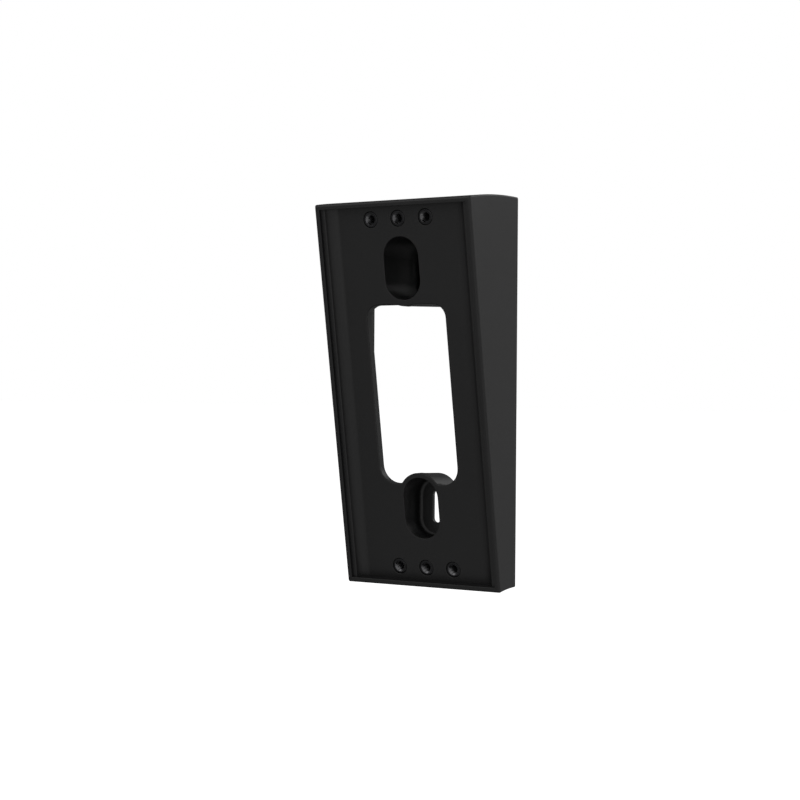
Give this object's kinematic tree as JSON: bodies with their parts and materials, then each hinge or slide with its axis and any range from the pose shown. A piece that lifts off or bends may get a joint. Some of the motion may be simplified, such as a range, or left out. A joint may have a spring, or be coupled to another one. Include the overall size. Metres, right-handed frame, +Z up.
{
  "type": "angled doorbell wall mount",
  "caption": "Hollow moulded wedge with a tray that leans a slim doorbell downwards, slotted pockets for the wall screws and threaded inserts.",
  "frame": {"origin": "in the wall plane, on the centre line, halfway through the lower wall of the housing", "axes": "+X to the right seen from the street, +Y into the wall, +Z up along the wall"},
  "size_m": [0.046, 0.0261, 0.1017],
  "materials": {
    "moulding": "black moulded, fine satin grain",
    "insert_metal": "black nickel plated, turned and knurled"
  },
  "bodies": {
    "root": {"wedge_housing": "moulding", "lower_insert_1": "insert_metal", "lower_insert_2": "insert_metal", "lower_insert_3": "insert_metal", "upper_insert_1": "insert_metal", "upper_insert_2": "insert_metal", "upper_insert_3": "insert_metal"}
  },
  "joints": []
}
